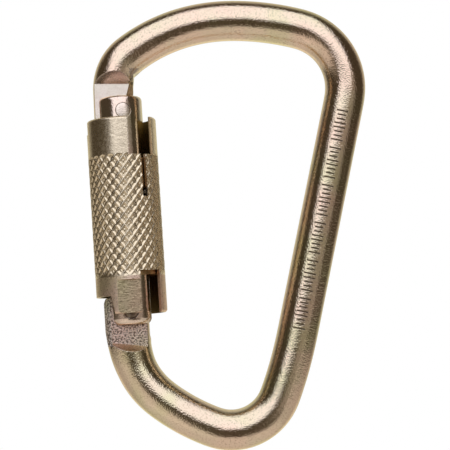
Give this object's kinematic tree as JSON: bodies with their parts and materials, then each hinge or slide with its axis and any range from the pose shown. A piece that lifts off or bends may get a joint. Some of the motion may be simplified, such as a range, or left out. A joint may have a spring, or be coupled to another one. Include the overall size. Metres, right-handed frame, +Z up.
{
  "type": "twist-lock carabiner",
  "caption": "Steel offset-D carabiner with a hinged gate closed by a pin-and-hook nose and a knurled, spring-loaded twist-lock sleeve.",
  "frame": {"origin": "seat of the upper bow, on the bar's inner surface, where the anchor bears", "axes": "+Z up along the load axis, +X from the gate towards the spine, +Y away from the front"},
  "size_m": [0.0699, 0.0176, 0.1128],
  "materials": {
    "plated_bar": "yellow-iridescent zinc plating over forged steel, satin bright",
    "plated_gate": "yellow-iridescent zinc plating over turned steel, bright",
    "plated_sleeve": "yellow-iridescent zinc plating, matte, diamond knurl",
    "bronze": "plain bearing bronze, brown",
    "inner_steel": "plain steel, bright"
  },
  "bodies": {
    "frame": {"frame": "plated_bar"},
    "gate": {"gate": "plated_gate", "hinge_pin": "plated_gate", "latch_pin": "plated_gate", "stop_pin": "inner_steel", "upper_bush": "bronze", "gate_spring": "inner_steel", "sleeve_spring": "inner_steel"},
    "sleeve": {"lock_sleeve": "plated_sleeve", "lower_bush": "bronze"},
    "plunger": {"gate_plunger": "inner_steel"}
  },
  "joints": [
    {"name": "gate_swing", "type": "hinge", "parent": "frame", "child": "gate", "pos_m": [-0.02527, 0, -0.06839], "axis": [0, 1, 0], "range_deg": [0, 38], "stiffness_Nm_per_rad": 0.3, "springref_deg": -28.65},
    {"name": "sleeve_twist", "type": "hinge", "parent": "gate", "child": "sleeve", "pos_m": [-0.02527, 0, -0.06839], "axis": [-0.0654, 0, 0.9979], "range_deg": [-126, 0], "stiffness_Nm_per_rad": 0.02, "springref_deg": 45.84, "deforming": ["sleeve_spring"]},
    {"name": "plunger_slide", "type": "slide", "parent": "gate", "child": "plunger", "axis": [-0.0654, 0, 0.9979], "range_m": [0, 0.0011], "deforming": ["gate_spring"]}
  ],
  "couplings": [
    {"joint": "plunger_slide", "follows": "gate_swing", "m_per_rad": 0.0015078}
  ]
}
